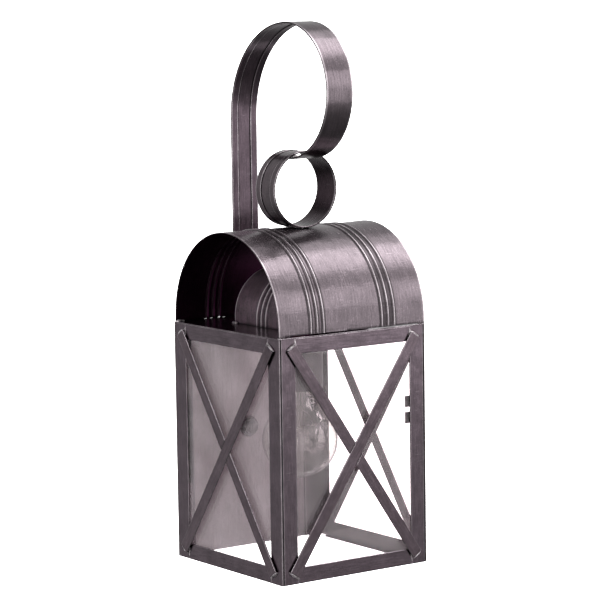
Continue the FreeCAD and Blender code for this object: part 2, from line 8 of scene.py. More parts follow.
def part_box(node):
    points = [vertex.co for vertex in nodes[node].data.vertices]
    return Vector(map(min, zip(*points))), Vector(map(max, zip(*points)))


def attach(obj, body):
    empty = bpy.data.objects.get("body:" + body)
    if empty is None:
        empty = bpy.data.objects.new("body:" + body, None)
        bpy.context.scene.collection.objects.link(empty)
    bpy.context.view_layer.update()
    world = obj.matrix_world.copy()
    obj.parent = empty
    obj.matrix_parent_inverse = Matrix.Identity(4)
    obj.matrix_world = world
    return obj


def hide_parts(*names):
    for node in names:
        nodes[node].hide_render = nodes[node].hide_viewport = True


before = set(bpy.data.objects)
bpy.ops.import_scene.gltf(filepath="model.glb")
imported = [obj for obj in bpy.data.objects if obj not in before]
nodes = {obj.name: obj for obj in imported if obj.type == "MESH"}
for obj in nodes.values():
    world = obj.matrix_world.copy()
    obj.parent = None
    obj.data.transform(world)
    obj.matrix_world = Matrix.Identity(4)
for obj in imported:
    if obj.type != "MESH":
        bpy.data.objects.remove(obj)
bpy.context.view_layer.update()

MM = 0.001
SIDES = (-1, 1)
ALONG_X = Vector((1, 0, 0))
ALONG_Y = Vector((0, 1, 0))
ALONG_Z = Vector((0, 0, 1))

# Metal reflectances: darkened brass on the frame, the cross bars and the roof, and the bright colour of
# edges, which is brass rubbed bare and painted highlight.
BRASS = (0.128, 0.100, 0.117)
BAR_BRASS = (0.132, 0.102, 0.118)
ROOF_BRASS = (0.120, 0.099, 0.110)
RUBBED_AND_GLINT_COLOUR = (0.62, 0.56, 0.59)

# Noise scales of the brushed finish, per metre: (across, along) the brush, then per axis.
FINE_BRUSH = (800.0, 75.0)
BROAD_BRUSH = (260.0, 22.0)
SCRATCH_SCALE = (70.0, 1500.0, 1500.0)
RIPPLE_SCALE = (130.0, 700.0, 1.0)
PATCH_SCALE = 55.0
DENT_SCALE = 110.0
SPECKLE_SCALE = 800.0

# Its reliefs and reaches, in metres.
BRUSH_DEPTH = 0.04 * MM
DENT_DEPTH = 0.16 * MM
EDGE_ROUND_REACH = 0.7 * MM
PAINTED_SHADE_REACH = 1.8 * MM

# ---- shader helpers


class Shader:
    """A material or world, and short calls that add and join its nodes."""

    def __init__(self, name, kind="materials", output="ShaderNodeOutputMaterial"):
        self.material = getattr(bpy.data, kind).new(name)
        self.material.use_nodes = True
        self.tree = self.material.node_tree
        self.tree.nodes.clear()
        self.output = self.add(output)

    def add(self, kind, links=None, values=None, **settings):
        """A node. links joins other nodes' outputs to its inputs; values sets constants on them."""
        made = self.tree.nodes.new(kind)
        for key, value in settings.items():
            setattr(made, key, value)
        for key, value in (values or {}).items():
            made.inputs[key].default_value = value
        for key, source in (links or {}).items():
            self.tree.links.new(source, made.inputs[key])
        return made

    def maths(self, operation, a, b=None, c=None, clamp=False):
        made = self.add("ShaderNodeMath", operation=operation, use_clamp=clamp)
        for index, value in enumerate((a, b, c)):
            if isinstance(value, (int, float)):
                made.inputs[index].default_value = value
            elif value is not None:
                self.tree.links.new(value, made.inputs[index])
        return made.outputs[0]

    def vector_maths(self, operation, a, b=None, scale=None):
        made = self.add("ShaderNodeVectorMath", operation=operation)
        for index, value in enumerate((a, b)):
            if isinstance(value, (tuple, Vector)):
                made.inputs[index].default_value = value
            elif value is not None:
                self.tree.links.new(value, made.inputs[index])
        if isinstance(scale, (int, float)):
            made.inputs["Scale"].default_value = scale
        elif scale is not None:
            self.tree.links.new(scale, made.inputs["Scale"])
        return made.outputs["Value" if operation == "DOT_PRODUCT" else "Vector"]

    def noise(self, vector, scale, detail=2.0, roughness=0.5):
        made = self.add(
            "ShaderNodeTexNoise",
            links={"Vector": vector},
            values={"Scale": scale, "Detail": detail, "Roughness": roughness},
        )
        return made.outputs["Fac"]

    def ramp(self, factor, *stops):
        """Colour stops as (position, colour)."""
        made = self.add("ShaderNodeValToRGB", links={"Fac": factor})
        elements = made.color_ramp.elements
        while len(elements) < len(stops):
            elements.new(0.5)
        for element, (position, colour) in zip(elements, stops):
            element.position = position
            element.color = (*colour, 1.0) if len(colour) == 3 else colour
        return made.outputs["Color"]

    def spread(self, value, low, high, to_low, to_high):
        made = self.add("ShaderNodeMapRange", links={"Value": value})
        for key, number in zip(("From Min", "From Max", "To Min", "To Max"), (low, high, to_low, to_high)):
            made.inputs[key].default_value = number
        return made.outputs["Result"]

    def reflectance(self, normal=None, straight=0.04):
        """Glass reflectance, the same from both sides: straight when seen face on, 1 at grazing."""
        links = {"Normal": normal} if normal else None
        facing = self.add("ShaderNodeLayerWeight", links=links, values={"Blend": 0.5}).outputs["Facing"]
        return self.maths("MULTIPLY_ADD", self.maths("POWER", facing, 5.0), 1.0 - straight, straight)

    def bump(self, height, distance, normal=None):
        links = {"Height": height}
        if normal:
            links["Normal"] = normal
        made = self.add("ShaderNodeBump", links=links, values={"Strength": 1.0, "Distance": distance})
        return made.outputs["Normal"]

    def principled(self, colour, roughness, normal, values):
        links = {"Base Color": colour, "Roughness": roughness, "Normal": normal}
        return self.add("ShaderNodeBsdfPrincipled", links=links, values=values)

    def surface(self, shader):
        self.tree.links.new(shader, self.output.inputs["Surface"])
        return self.material


def edge_wear_and_glint(s, normal, direction):
    """Bright edges, rubbed wear and painted highlight: 0 on faces that lie along or across the direction,
    1 where the rounded normal leans between them.
    """
    other = ALONG_X if direction.y else ALONG_Y
    total = None
    for axis in (direction, other, direction.cross(other)):
        square = s.maths("POWER", s.maths("ABSOLUTE", s.vector_maths("DOT_PRODUCT", normal, axis)), 4.0)
        total = square if total is None else s.maths("ADD", total, square)
    return s.spread(total, 0.9, 0.6, 0.0, 1.0)


def brushed(
    name, along=None, tint=BRASS, contrast=0.6, rough=0.2, grain=1.0, edge_brightness=1.0,
    metallic=1.0, smear=0.0, ripple=0.0,
):
    """Darkened sheet brass, brushed along one direction of the part, or along V of its UV map.

    Crevices get painted shade, from ambient occlusion and from the shade that sweep() paints. Edges are
    painted bright, partly as rubbed wear and partly as painted highlight: sharp ones are found from the
    geometry, and on a swept sheet sweep() paints them. contrast is how much the streaks and patches vary,
    grain scales the relief and edge_brightness the bright edges. smear spreads reflections across the brush
    lines and needs the UV map, and ripple adds cross lines.
    """
    s = Shader(name)
    coordinates = s.add("ShaderNodeTexCoord")
    if along is None:
        place = coordinates.outputs["UV"]
        direction = ALONG_Y
    else:
        place = coordinates.outputs["Object"]
        direction = Vector(along).normalized()

    def stretched(fine, coarse):
        """The place, measured finely across the brush and coarsely along it."""
        reach = s.vector_maths("DOT_PRODUCT", place, direction)
        drawn = s.vector_maths("SCALE", direction, scale=s.maths("MULTIPLY", reach, fine - coarse))
        return s.vector_maths("SUBTRACT", s.vector_maths("SCALE", place, scale=fine), drawn)

    streaks = s.noise(stretched(*FINE_BRUSH), 1.0, 3.0, 0.6)
    broad = s.noise(stretched(*BROAD_BRUSH), 1.0, 2.0, 0.5)
    scratches = s.noise(s.vector_maths("MULTIPLY", place, SCRATCH_SCALE), 1.0, 1.0, 0.4)
    patches = s.noise(place, PATCH_SCALE, 4.0, 0.6)
    dents = s.noise(place, DENT_SCALE, 1.0, 0.4)
    speckle = s.noise(place, SPECKLE_SCALE, 2.0, 0.6)

    mix = s.maths("ADD", s.maths("MULTIPLY", streaks, 0.55), s.maths("MULTIPLY", patches, 0.45))
    mix = s.maths("ADD", mix, s.maths("MULTIPLY", s.maths("SUBTRACT", speckle, 0.5), 0.4))
    dark = tuple(c * (1 - 0.5 * contrast) for c in tint)
    light = tuple(c * (1 + 0.6 * contrast) for c in tint)
    colour = s.ramp(mix, (0.34, dark), (0.5, tint), (0.66, light))

    bevel = s.add("ShaderNodeBevel", values={"Radius": EDGE_ROUND_REACH}, samples=6)
    painted_shade = s.add("ShaderNodeAttribute", attribute_name="painted_shade").outputs["Fac"]
    # Bright edges, partly rubbed wear and partly painted highlight: painted by sweep() on swept sheets, found
    # from the rounded normal elsewhere.
    if along is None:
        wear_and_glint_mask = s.add("ShaderNodeAttribute", attribute_name="wear_and_glint").outputs["Fac"]
    else:
        wear_and_glint_mask = edge_wear_and_glint(s, bevel.outputs["Normal"], direction)
    wear_and_glint_mask = s.maths("MULTIPLY", wear_and_glint_mask, s.spread(patches, 0.35, 0.6, 0.5, 1.0))
    scored = s.spread(scratches, 0.73, 0.8, 0.0, 0.2)
    bare_and_glint = s.maths("MULTIPLY", s.maths("MAXIMUM", wear_and_glint_mask, scored), 0.8 * edge_brightness, clamp=True)
    blend = s.add("ShaderNodeMix", data_type="RGBA", links={"Factor": bare_and_glint, "A": colour})
    blend.inputs["B"].default_value = (*RUBBED_AND_GLINT_COLOUR, 1.0)
    # Painted shade: the colour darkens in creases by ambient occlusion, and where sweep() paints shade.
    ao_shade = s.add("ShaderNodeAmbientOcclusion", samples=5, values={"Distance": PAINTED_SHADE_REACH}).outputs["AO"]
    painted_shade_factor = s.maths(
        "MULTIPLY",
        s.spread(ao_shade, 0.45, 0.85, 0.15, 1.0),
        s.spread(painted_shade, 0.0, 1.0, 1.0, 0.12),
    )

    gloss = s.maths("ADD", rough - 0.08, s.maths("MULTIPLY", streaks, 0.10))
    gloss = s.maths("ADD", gloss, s.maths("MULTIPLY", patches, 0.07))
    height = s.maths("ADD", streaks, s.maths("MULTIPLY", broad, 0.8))
    if ripple:
        ripples = s.noise(s.vector_maths("MULTIPLY", place, RIPPLE_SCALE), 1.0, 2.0, 0.5)
        height = s.maths("ADD", height, s.maths("MULTIPLY", ripples, ripple))
    lines = s.bump(height, BRUSH_DEPTH * grain, bevel.outputs["Normal"])
    skin = s.principled(
        s.vector_maths("SCALE", blend.outputs["Result"], scale=painted_shade_factor),
        gloss,
        s.bump(dents, DENT_DEPTH * grain, lines),
        {"Metallic": metallic, "Anisotropic": smear},
    )
    if smear:
        tangent = s.add("ShaderNodeTangent", direction_type="UV_MAP", uv_map="UVMap").outputs["Tangent"]
        s.tree.links.new(tangent, skin.inputs["Tangent"])
    return s.surface(skin.outputs["BSDF"])


def solder(name):
    """Solder under the dark finish: brighter than the brass, lumpy and a little pitted."""
    s = Shader(name)
    place = s.add("ShaderNodeTexCoord").outputs["Object"]
    patches = s.noise(place, 500.0, 3.0, 0.6)
    pits = s.noise(place, 1400.0, 2.0, 0.5)
    colour = s.ramp(patches, (0.3, (0.10, 0.08, 0.09)), (0.5, (0.38, 0.34, 0.36)), (0.66, (0.8, 0.75, 0.77)))
    relief = s.bump(s.maths("ADD", patches, s.maths("MULTIPLY", pits, 0.4)), 0.15 * MM)
    skin = s.principled(colour, s.spread(patches, 0.3, 0.7, 0.42, 0.24), relief, {"Metallic": 0.95})
    return s.surface(skin.outputs["BSDF"])


def pane_glass(name, dusty=1.0):
    """Flat clear glass with a film of dust. Both the reflection and the film grow towards grazing."""
    s = Shader(name)
    place = s.add("ShaderNodeTexCoord").outputs["Object"]
    smears = s.noise(place, 28.0, 4.0, 0.6)
    see = s.add(
        "ShaderNodeBsdfTransparent",
        links={"Color": s.ramp(smears, (0.2, (0.965, 0.93, 0.94)), (0.8, (0.985, 0.96, 0.968)))},
    )
    mirror = s.add(
        "ShaderNodeBsdfGlossy",
        links={"Roughness": s.spread(smears, 0.3, 0.7, 0.01, 0.06)},
        values={"Color": (1, 0.95, 0.965, 1)},
    )
    glass = s.add("ShaderNodeMixShader", links={0: s.reflectance(), 1: see.outputs[0], 2: mirror.outputs[0]})
    film = s.add("ShaderNodeBsdfDiffuse", values={"Color": (0.78, 0.7, 0.73, 1)})
    slant = s.add("ShaderNodeLayerWeight", values={"Blend": 0.5}).outputs["Facing"]
    dust = s.maths(
        "MULTIPLY",
        s.spread(smears, 0.35, 0.75, 0.012, 0.028),
        s.spread(slant, 0.15, 0.45, 0.65 * dusty, 1.35 * dusty),
    )
    skin = s.add("ShaderNodeMixShader", links={0: dust, 1: glass.outputs[0], 2: film.outputs[0]})
    return s.surface(skin.outputs[0])


def lamp_glass(name, edge=(0.3, 0.3, 0.31), middle=(0.92, 0.915, 0.905), film_and_glint_range=(0.0, 0.035)):
    """Thin blown glass: clear face on, darker where the wall is seen edge on, with cords and a grey film.

    film_and_glint_range sets how thick the film is: a thin one is dust, and a heavy one paints white
    highlights.
    """
    s = Shader(name)
    place = s.add("ShaderNodeTexCoord").outputs["Object"]
    cords = s.noise(s.vector_maths("MULTIPLY", place, (110.0, 110.0, 40.0)), 1.0, 2.0, 0.5)
    facing = s.add("ShaderNodeLayerWeight", values={"Blend": 0.28}).outputs["Facing"]
    see = s.add(
        "ShaderNodeBsdfTransparent",
        links={"Color": s.ramp(facing, (0.0, middle), (0.5, middle), (0.9, edge))},
    )
    relief = s.bump(cords, 1.4 * MM)
    mirror = s.add(
        "ShaderNodeBsdfGlossy",
        links={
            "Normal": relief,
            "Roughness": s.spread(cords, 0.3, 0.7, 0.06, 0.16),
            # The reflection dims towards the rim: painted shade along the bulb's edge.
            "Color": s.ramp(facing, (0.5, (1, 1, 1)), (0.9, (0.5, 0.48, 0.49))),
        },
    )
    shine = s.reflectance(relief, 0.07)
    glass = s.add("ShaderNodeMixShader", links={0: shine, 1: see.outputs[0], 2: mirror.outputs[0]})
    film = s.add("ShaderNodeBsdfDiffuse", values={"Color": (0.74, 0.7, 0.7, 1)})
    film_and_glint = s.spread(cords, 0.35, 0.65, *film_and_glint_range)
    skin = s.add("ShaderNodeMixShader", links={0: film_and_glint, 1: glass.outputs[0], 2: film.outputs[0]})
    return s.surface(skin.outputs[0])


def dull(name, dark, light, scale, rough, metallic=0.0):
    """A plain moulded or cast surface with mottling and a fine relief."""
    s = Shader(name)
    place = s.add("ShaderNodeTexCoord").outputs["Object"]
    mottle = s.noise(place, scale, 4.0, 0.6)
    fine = s.noise(place, scale * 9, 2.0, 0.5)
    skin = s.principled(
        s.ramp(mottle, (0.3, dark), (0.7, light)),
        s.spread(fine, 0.3, 0.7, rough - 0.06, rough + 0.08),
        s.bump(s.maths("ADD", mottle, s.maths("MULTIPLY", fine, 0.5)), 0.1 * MM),
        {"Metallic": metallic},
    )
    return s.surface(skin.outputs["BSDF"])


# ---- mesh helpers


def mesh_from(bm, name):
    mesh = bpy.data.meshes.new(name)
    bm.to_mesh(mesh)
    bm.free()
    return mesh


def placed(name, data):
    """A new object in the scene from a mesh, curve, light or camera."""
    made = bpy.data.objects.new(name, data)
    bpy.context.scene.collection.objects.link(made)
    return made


def finish_piece(mesh, name, material, body, replaced=()):
    """A smooth-shaded visible piece that rides a body and may replace CAD nodes."""
    piece = placed(name, mesh)
    mesh.materials.append(material)
    for face in mesh.polygons:
        face.use_smooth = True
    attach(piece, body)
    if replaced:
        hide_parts(*replaced)
    return piece


def sweep(name, stations, lateral, section, shape=None, paint=None):
    """A closed section carried along stations.

    Each station is (point, outward). A section point is (width, offset): width goes along lateral and offset
    along outward.
    shape may move a finished point: shape(point, width, offset, distance, outward).
    paint(width, offset) gives how bright a section point is painted, as rubbed wear and painted highlight,
    and how much painted shade it gets, 0 to 1 each.
    UV is width and distance along the path, in metres.
    """
    bm = bmesh.new()
    uv = bm.loops.layers.uv.new("UVMap")
    wear_and_glint = bm.verts.layers.float.new("wear_and_glint")
    painted_shade = bm.verts.layers.float.new("painted_shade")
    lateral = Vector(lateral)
    distance = 0.0
    previous = None
    rows = []
    distances = []
    for point, outward in stations:
        if previous is not None:
            distance += (point - previous).length
        previous = point
        row = []
        for width, offset in section:
            spot = point + lateral * width + outward * offset
            if shape:
                spot = shape(spot, width, offset, distance, outward)
            vertex = bm.verts.new(spot)
            if paint:
                vertex[wear_and_glint], vertex[painted_shade] = paint(width, offset)
            row.append(vertex)
        rows.append(row)
        distances.append(distance)
    count = len(section)
    around = [0.0]
    for index in range(count):
        a = Vector(section[index])
        b = Vector(section[(index + 1) % count])
        around.append(around[-1] + (b - a).length)
    for j in range(len(rows) - 1):
        for i in range(count):
            k = (i + 1) % count
            face = bm.faces.new((rows[j][i], rows[j][k], rows[j + 1][k], rows[j + 1][i]))
            spots = (
                (around[i], distances[j]),
                (around[i + 1], distances[j]),
                (around[i + 1], distances[j + 1]),
                (around[i], distances[j + 1]),
            )
            for loop, spot in zip(face.loops, spots):
                loop[uv].uv = spot
    for row in (rows[0], rows[-1]):
        cap = bm.faces.new(row)
        for loop in cap.loops:
            loop[uv].uv = (loop.vert.co.x, loop.vert.co.z)
    bmesh.ops.triangulate(bm, faces=[f for f in bm.faces if len(f.verts) > 4])
    bmesh.ops.recalc_face_normals(bm, faces=bm.faces)
    return mesh_from(bm, name)


SAME_PLACE = 1e-7


def lathe(name, outline, axis_x, axis_y, segments=96, ripple=None):
    """Turn an outline of (radius, height) about a vertical axis.

    ripple(angle, radius, height) is added to the radius. UV is the way round, at a 20 mm radius, and height.
    """
    bm = bmesh.new()
    uv = bm.loops.layers.uv.new("UVMap")
    rows = []
    for radius, height in outline:
        if radius <= SAME_PLACE:
            rows.append([bm.verts.new((axis_x, axis_y, height))])
            continue
        row = []
        for step in range(segments):
            angle = 2 * math.pi * step / segments
            r = radius + (ripple(angle, radius, height) if ripple else 0.0)
            row.append(bm.verts.new((axis_x + r * math.cos(angle), axis_y + r * math.sin(angle), height)))
        rows.append(row)
    for low, high in zip(rows, rows[1:]):
        for step in range(segments):
            corners = [low[step % len(low)], low[(step + 1) % len(low)]]
            corners += [high[(step + 1) % len(high)], high[step % len(high)]]
            corners = list(dict.fromkeys(corners))
            if len(corners) > 2:
                bm.faces.new(corners)
    for face in bm.faces:
        for loop in face.loops:
            co = loop.vert.co
            loop[uv].uv = (math.atan2(co.y - axis_y, co.x - axis_x) * 20 * MM, co.z)
    bmesh.ops.remove_doubles(bm, verts=bm.verts, dist=SAME_PLACE)
    bmesh.ops.recalc_face_normals(bm, faces=bm.faces)
    return mesh_from(bm, name)


def add_blob(bm, centre, along, normal, length, width, height, seed):
    """A lump of solder: a low dome, longer one way, with an uneven outline and a flat base at its centre."""
    along = Vector(along).normalized()
    normal = Vector(normal).normalized()
    across = normal.cross(along)
    segments = 20
    rings = 6
    ragged = 0.3
    previous = None
    for ring in range(rings + 1):
        lean = math.pi / 2 * ring / rings
        row = []
        for step in range(segments if ring else 1):
            angle = 2 * math.pi * step / segments
            x = math.cos(angle)
            y = math.sin(angle)
            sway = noise.noise(Vector((x * 1.3 + seed * 3.7, y * 1.3, lean * 1.1)))
            lump = noise.noise(Vector((x * lean, y * lean, seed * 2.3)) * 1.6)
            flat = math.sin(lean) * (1 + ragged * sway)
            rise = height * math.cos(lean) ** 0.7 * (1 + 0.35 * lump) if ring < rings else 0.0
            offset = along * (length / 2 * flat * x) + across * (width / 2 * flat * y)
            row.append(bm.verts.new(Vector(centre) + offset + normal * min(rise, height)))
        if previous is not None:
            for step in range(segments):
                other = (step + 1) % segments
                if len(previous) == 1:
                    bm.faces.new((previous[0], row[step], row[other]))
                else:
                    bm.faces.new((previous[step], row[step], row[other], previous[other]))
        previous = row
    bm.faces.new(previous)


def blobs(name, lumps):
    """One piece from lumps of solder, each (centre, along, normal, length, width, height) in millimetres."""
    bm = bmesh.new()
    for seed, (centre, along, normal, *size) in enumerate(lumps, len(name)):
        add_blob(bm, Vector(centre) * MM, along, normal, *(length * MM for length in size), seed)
    bmesh.ops.recalc_face_normals(bm, faces=bm.faces)
    finish_piece(mesh_from(bm, name), name, bead_solder, "housing")


def arc(centre, radius, start, end, steps):
    """Stations on an arc in the YZ plane. Angles in degrees from +Y towards +Z."""
    made = []
    for step in range(steps + 1):
        angle = math.radians(start + (end - start) * step / steps)
        outward = Vector((0, math.cos(angle), math.sin(angle)))
        made.append((Vector((0, *centre)) + outward * radius, outward))
    return made


def weighted(piece):
    """Shade flat faces flat, and let the narrow ones between them take up the turn."""
    modifier = piece.modifiers.new("normals", "WEIGHTED_NORMAL")
    modifier.keep_sharp = True
    modifier.weight = 60


def wobble(point, scale, size, seed=0.0):
    """Hand-made unevenness: a smooth noise of the place, from 0 down to -size."""
    value = noise.noise(point * scale + Vector((seed, seed * 0.7, 0)))
    return -size * (0.5 + 0.5 * max(-1.0, min(1.0, value * 1.6)))


# ---- finishes

upright_brass = brushed("brass_upright", ALONG_Z)
across_brass = brushed("brass_across", ALONG_X)
# The pane tabs' brass is lighter than the frame's: painted light on faces that look into the dark inside.
clip_brass = dull("brass_clips_painted_light", (0.15, 0.125, 0.138), (0.28, 0.24, 0.26), 300.0, 0.5, metallic=1.0)
inward_brass = brushed("brass_inward", ALONG_Y)
strip_brass = brushed("brass_strip", tint=ROOF_BRASS, rough=0.22, smear=0.6)
# Darker copies of the brass on the faces that look towards a sheet's axis: painted shade.
strip_inner_brass = brushed("brass_strip_inner_painted_shade", tint=(0.080, 0.060, 0.072), contrast=0.7, rough=0.22)
ring_inner_brass = brushed("brass_ring_inner_painted_shade", tint=(0.050, 0.034, 0.042), rough=0.26, edge_brightness=0.8)
post_brass = brushed("brass_post")
roof_brass = brushed("brass_roof", tint=ROOF_BRASS, rough=0.25, metallic=0.94, smear=0.7, ripple=1.8)
# The inside of the roof and the baffle: a near-black copy of the brass, painted shade.
inner_brass = brushed("brass_inner_painted_shade", tint=(0.045, 0.012, 0.032), rough=0.34, grain=0.5, edge_brightness=0.3)
# The vent baffle's brass is a darker copy of the roof's: painted shade under the roof.
baffle_brass = brushed("brass_baffle_painted_shade", tint=(0.062, 0.042, 0.053), contrast=1.1, rough=0.45, metallic=0.7)
# The back plate's brass is a lighter copy of the frame's: painted light on the plate.
plate_brass = brushed(
    "brass_plate_painted_light", ALONG_Z, tint=(0.235, 0.20, 0.215), contrast=0.25, rough=0.4, grain=0.0, edge_brightness=0.5
)
nut_brass = brushed("brass_nut", ALONG_Z, tint=(0.07, 0.055, 0.063), rough=0.45, grain=0.5, edge_brightness=0.0)
bead_solder = solder("solder_toned")
glass = pane_glass("glass_pane")
cleaner_glass = pane_glass("glass_pane_right", 0.35)
bulb_clear = lamp_glass("glass_lamp")
# The stem's heavy film paints white highlights on it.
stem_clear = lamp_glass("glass_stem", edge=(0.5, 0.48, 0.48), film_and_glint_range=(0.08, 0.24))
phenolic = dull("phenolic_black", (0.012, 0.010, 0.011), (0.03, 0.026, 0.028), 160.0, 0.42)
liner_brass = dull("brass_liner", (0.42, 0.30, 0.15), (0.62, 0.46, 0.26), 220.0, 0.32, metallic=1.0)
cap_metal = dull("cap_metal", (0.34, 0.31, 0.27), (0.56, 0.51, 0.45), 260.0, 0.3, metallic=1.0)
button_glass = dull("button_black", (0.01, 0.009, 0.012), (0.03, 0.028, 0.035), 300.0, 0.2)
tip_solder = dull("tip_solder", (0.45, 0.45, 0.46), (0.7, 0.7, 0.7), 600.0, 0.36, metallic=1.0)
wire_metal = dull("wire_metal", (0.2, 0.19, 0.18), (0.42, 0.4, 0.38), 900.0, 0.35, metallic=1.0)
rubber = dull("rubber_black", (0.012, 0.011, 0.011), (0.028, 0.026, 0.026), 400.0, 0.6)

# From the middle of a glazed face to a cross bar's end, in millimetres.
FRONT_BAR_REACH = 59.5
SIDE_BAR_REACH = 61.5
BAR_RISE = 87.3
front_long_brass = brushed("brass_front_long", (FRONT_BAR_REACH, 0, BAR_RISE), tint=BAR_BRASS)
front_short_brass = brushed("brass_front_short", (-FRONT_BAR_REACH, 0, BAR_RISE), tint=BAR_BRASS)
side_long_brass = brushed("brass_side_long", (0, -SIDE_BAR_REACH, BAR_RISE), tint=BAR_BRASS)
side_short_brass = brushed("brass_side_short", (0, SIDE_BAR_REACH, BAR_RISE), tint=BAR_BRASS)


def dress(node, material, bevel):
    """Give a CAD node its finish and, where bevel (in millimetres) isn't 0, softly broken edges."""
    piece = nodes[node]
    for slot_index in range(max(1, len(piece.material_slots))):
        if not piece.material_slots:
            piece.data.materials.append(material)
        piece.material_slots[slot_index].material = material
    if bevel:
        weld = piece.modifiers.new("weld", "WELD")
        weld.merge_threshold = 0.02 * MM
        broken = piece.modifiers.new("broken_edges", "BEVEL")
        broken.width = bevel * MM
        broken.segments = 2
        broken.limit_method = "ANGLE"
        broken.angle_limit = math.radians(35)
        broken.loop_slide = False
        weighted(piece)


for side in ("left", "right"):
    dress("post_rear_" + side, upright_brass, 0.22)
    dress("pane_strip_" + side, upright_brass, 0.12)
    dress("pane_tabs_" + side, clip_brass, 0.12)
for level in ("top", "bottom"):
    dress("rail_" + level + "_front", across_brass, 0.22)
    dress("rail_" + level + "_left", inward_brass, 0.22)
    dress("rail_" + level + "_right", inward_brass, 0.22)
dress("back_plate", plate_brass, 0.0)
dress("top_plate", across_brass, 0.15)
for face, long_finish, short_finish in (
    ("front", front_long_brass, front_short_brass),
    ("left", side_long_brass, side_short_brass),
    ("right", side_long_brass, side_short_brass),
):
    dress(face + "_bar_long", long_finish, 0.3)
    dress(face + "_bar_lower", short_finish, 0.3)
    dress(face + "_bar_upper", short_finish, 0.3)
dress("pane_front", glass, 0.0)
dress("pane_left", glass, 0.0)
dress("pane_right", cleaner_glass, 0.0)
dress("socket_body", phenolic, 0.0)
dress("socket_contact", liner_brass, 0.1)
dress("lamp_nipple", liner_brass, 0.0)
dress("lamp_locknuts", upright_brass, 0.25)
dress("bulb_insulator", button_glass, 0.0)
dress("bulb_tip", tip_solder, 0.25)
dress("nut_washer", nut_brass, 0.2)
dress("cap_nut", nut_brass, 0.2)
dress("wire_bushing", rubber, 0.35)

# ---- front posts

# All in millimetres.
FRAME_SHEET = 1.2
LIP = 1.0
GROOVE_END = 2.0
GROOVE_DEPTH = 0.8
ROUND = 0.2
FADE = 0.9
POST_LEG = 15.0

# Round the angle in plan, from its outer corner: along the front, back from the front, how bright the place
# is painted, as rubbed wear and painted highlight, and how much painted shade it gets, 0 to 1 each.
POST_OUTLINE = (
    (ROUND, 0, 0.6, 0),
    (LIP - ROUND, 0, 0.6, 0),
    (LIP, ROUND, 0.2, 0.4),
    (LIP, GROOVE_DEPTH, 0, 1),
    (GROOVE_END, GROOVE_DEPTH, 0, 1),
    (GROOVE_END, ROUND, 0.2, 0.4),
    (GROOVE_END + ROUND, 0, 0.6, 0),
    (GROOVE_END + FADE, 0, 0, 0),
    (POST_LEG - FADE, 0, 0, 0),
    (POST_LEG - ROUND, 0, 0.7, 0),
    (POST_LEG, ROUND, 0.3, 0),
    (POST_LEG, FRAME_SHEET, 0, 0),
    (FRAME_SHEET, FRAME_SHEET, 0, 0),
    (FRAME_SHEET, POST_LEG, 0, 0),
    (ROUND, POST_LEG, 0.3, 0),
    (0, POST_LEG - ROUND, 0.7, 0),
    (0, POST_LEG - FADE, 0, 0),
    (0, FADE, 0, 0),
    (0, ROUND, 0.6, 0),
)


def front_post(name, side):
    """An angle post with a groove beside its corner. side is -1 for left and 1 for right."""
    foot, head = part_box(name)
    corner_x = foot[0] if side < 0 else head[0]
    section = [(along * MM, back * MM) for along, back, wear_and_glint, shade_level in POST_OUTLINE]
    marks_at = {(along * MM, back * MM): (wear_and_glint, shade_level) for along, back, wear_and_glint, shade_level in POST_OUTLINE}
    stations = [(Vector((corner_x, foot[1], height)), ALONG_Y) for height in (foot[2], head[2])]
    inward = (-side, 0, 0)
    mesh = sweep(name + "_angle", stations, inward, section, paint=lambda *place: marks_at[place])
    weighted(finish_piece(mesh, name + "_angle", post_brass, "housing", [name]))


front_post("post_front_left", -1)
front_post("post_front_right", 1)

# ---- roof and vent baffle

ROOF_AXIS = (-72.7 * MM, 96.8 * MM)
ROOF_RADIUS = 71.2 * MM
ROOF_HALF = 70 * MM
ROOF_BEADS = (-34 * MM, 34 * MM)
BAFFLE_Y = -76.0 * MM
BAFFLE_AXIS_Z = 96.7 * MM
BAFFLE_RADIUS = 38.0 * MM
BAFFLE_HALF = 37.5 * MM
BAFFLE_BEADS = (0.0,)
PLATE_TOP = 92.0 * MM
SHEET = 0.8 * MM
BEAD_HEIGHT = 0.9 * MM
BEAD_HALF = 1.8 * MM
BEAD_PITCH = 6.0 * MM
BEAD_STEPS = 5
RIM_STEPS = 6
GRID_STEP = 3.5 * MM
# From the sheet's end: its band painted bright, as rubbed wear and painted highlight, and the clear space
# before the first grid line.
RIM_BAND = (0.6 * MM, 1.7 * MM)
RIM_CLEAR = 1.9 * MM


def round_end(middle, radius, start, steps):
    """The points inside a half circle of a section. Its centre is at (middle, -radius)."""
    angles = [start - math.pi * number / steps for number in range(1, steps)]
    return [(middle + radius * math.cos(angle), radius * math.sin(angle) - radius) for angle in angles]


def bead_places(groups):
    return [group + number * BEAD_PITCH for group in groups for number in (-1, 0, 1)]


